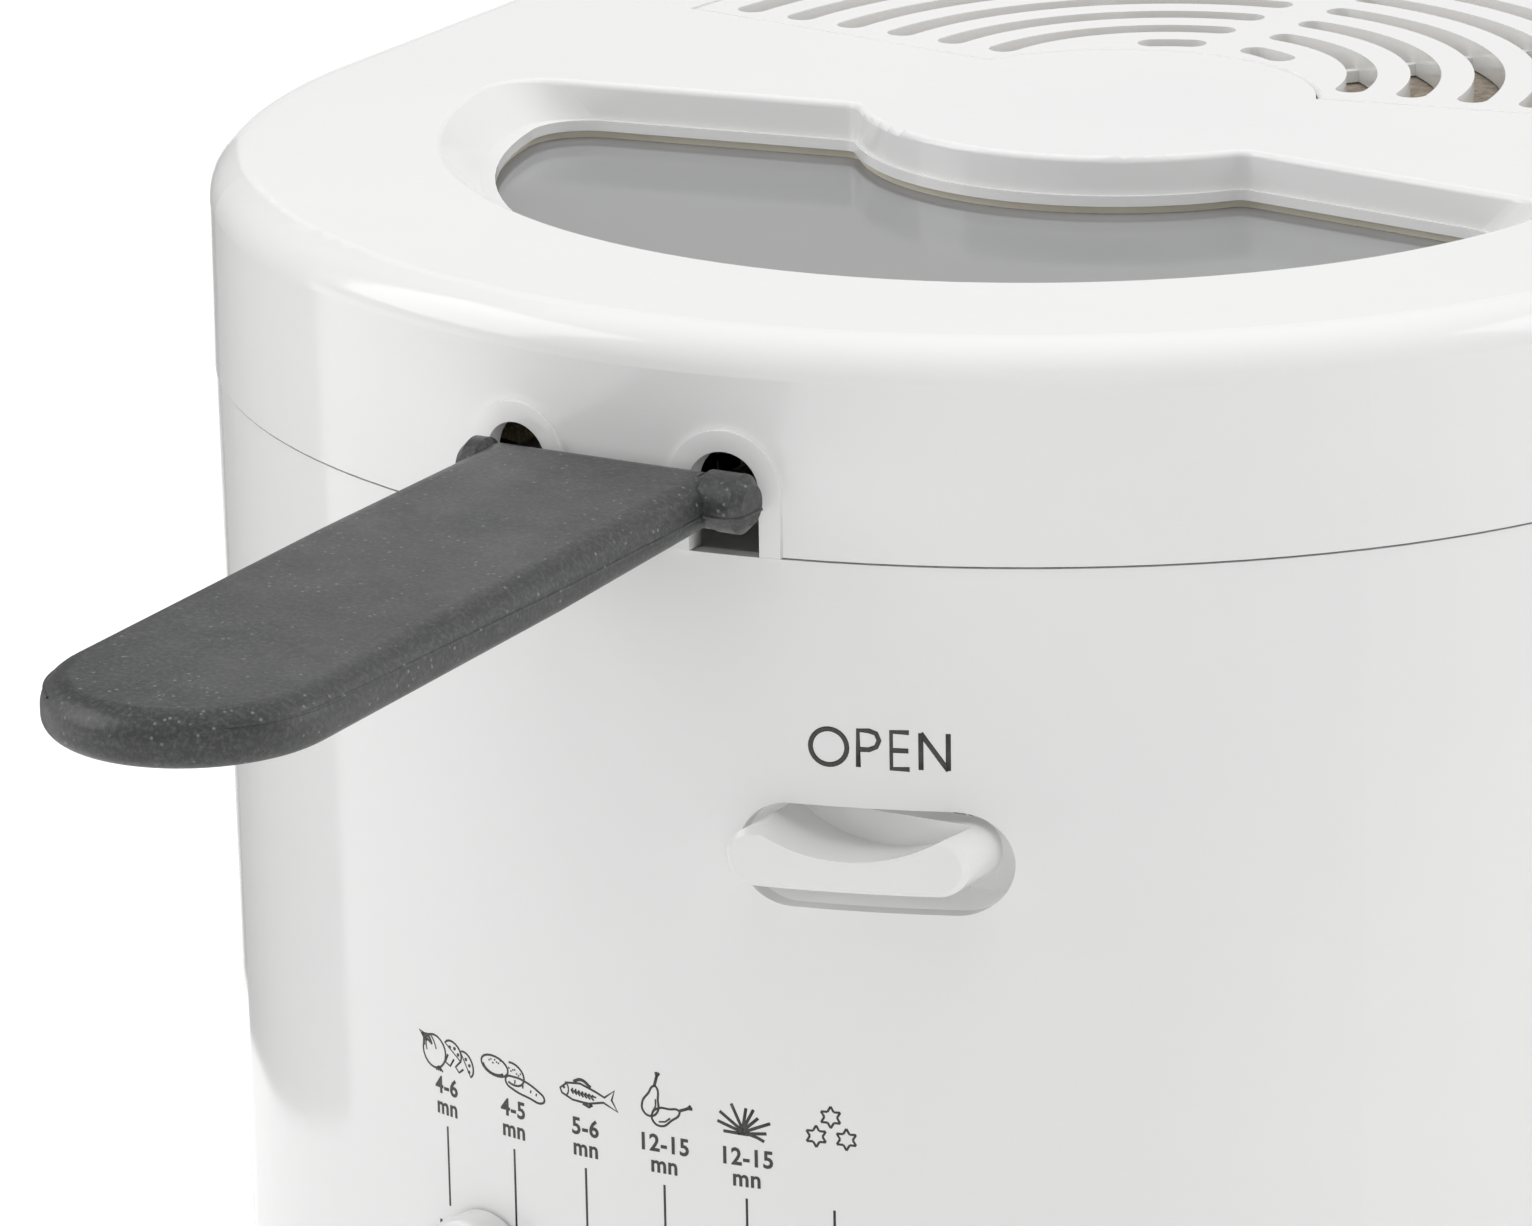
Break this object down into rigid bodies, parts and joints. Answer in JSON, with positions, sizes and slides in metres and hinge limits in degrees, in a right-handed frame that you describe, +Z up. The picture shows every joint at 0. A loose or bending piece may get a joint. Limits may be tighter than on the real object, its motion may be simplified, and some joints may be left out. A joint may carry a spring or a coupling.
{
  "type": "deep fryer",
  "caption": "Compact household deep fryer with a round front, hinged lid with window and slotted filter cover, wire basket with a folding grip, open button and temperature control.",
  "frame": {"origin": "on the ground, at the middle of the overall box of the machine with its grip out", "axes": "+Z up, the grip and controls face -Y, the lid's hinge is at +Y, +X is the machine's left as it faces -Y"},
  "size_m": [0.2402, 0.4118, 0.2217],
  "materials": {
    "white_shell": "glossy white moulding",
    "charcoal_grip": "soft touch, faintly speckled",
    "window": "smoke tinted clear plastic",
    "liner": "gold coloured, satin",
    "pot": "dark non-stick coating inside",
    "bright_wire": "bright plated",
    "plain_steel": "satin",
    "seal": "silicone, pale beige",
    "foot_rubber": "matt",
    "carbon_mat": "black felt",
    "grease_mat": "brown fibre mat",
    "inner_plastic": "matt",
    "dark_gland": "matt black",
    "lamp_lens": "clear red"
  },
  "bodies": {
    "housing": {"body_shell": "white_shell", "body_back": "white_shell", "body_deck": "white_shell", "button_cup": "white_shell", "hinge_ears": "white_shell", "base_plate": "inner_plastic", "base_screws": "plain_steel", "feet": "foot_rubber", "terminal_block": "inner_plastic", "cord_gland": "dark_gland", "pilot_lens": "lamp_lens", "pilot_lamp": "inner_plastic", "hinge_pin": "plain_steel", "latch_pin": "plain_steel", "oil_bowl": "pot", "bowl_gasket": "seal", "heating_element": "plain_steel", "thermostat": "plain_steel", "thermal_cutout": "inner_plastic", "heat_shield": "liner", "nuts": "plain_steel", "button_spring": "bright_wire"},
    "lid": {"lid_shell": "white_shell", "lid_skirt": "white_shell", "notch_beads": "white_shell", "lid_lugs": "white_shell", "lid_inner": "liner", "window_gasket": "seal", "window_pane": "window", "carbon_filter": "carbon_mat", "grease_filter": "grease_mat", "lid_screws": "plain_steel"},
    "filter_cover": {"filter_cover": "white_shell"},
    "basket": {"basket_mesh": "bright_wire", "basket_frame": "bright_wire", "handle_wire": "bright_wire"},
    "handle": {"handle_grip": "charcoal_grip"},
    "open_button": {"open_button": "white_shell"},
    "latch": {"latch_lever": "inner_plastic"},
    "temperature_control": {"temperature_lever": "inner_plastic", "temperature_knob": "white_shell"}
  },
  "joints": [
    {"name": "lid_open", "type": "hinge", "parent": "housing", "child": "lid", "pos_m": [0, 0.20093, 0.19], "axis": [-1, 0, 0], "range_deg": [0, 92]},
    {"name": "cover_tilt", "type": "hinge", "parent": "lid", "child": "filter_cover", "pos_m": [0, 0.17143, 0.2217], "axis": [-1, 0, 0], "range_deg": [0, 60]},
    {"name": "basket_lift", "type": "slide", "parent": "housing", "child": "basket", "axis": [0, 0, 1], "range_m": [0, 0.0032]},
    {"name": "handle_fold", "type": "hinge", "parent": "basket", "child": "handle", "pos_m": [0, -0.08487, 0.1993], "axis": [1, 0, 0], "range_deg": [0, 80]},
    {"name": "button_press", "type": "slide", "parent": "housing", "child": "open_button", "axis": [0, 1, 0], "range_m": [0, 0.003], "stiffness_N_per_m": 400, "springref_m": -0.002, "deforming": ["button_spring"]},
    {"name": "latch_turn", "type": "hinge", "parent": "housing", "child": "latch", "pos_m": [0.031, -0.05957, 0.174], "axis": [1, 0, 0], "range_deg": [0, 7]},
    {"name": "temperature_turn", "type": "hinge", "parent": "housing", "child": "temperature_control", "pos_m": [0, 0.04443, 0.0743], "axis": [0, 0, 1], "range_deg": [-3.1, 27]}
  ],
  "couplings": [
    {"joint": "latch_turn", "follows": "button_press", "rad_per_m": 39.76}
  ]
}
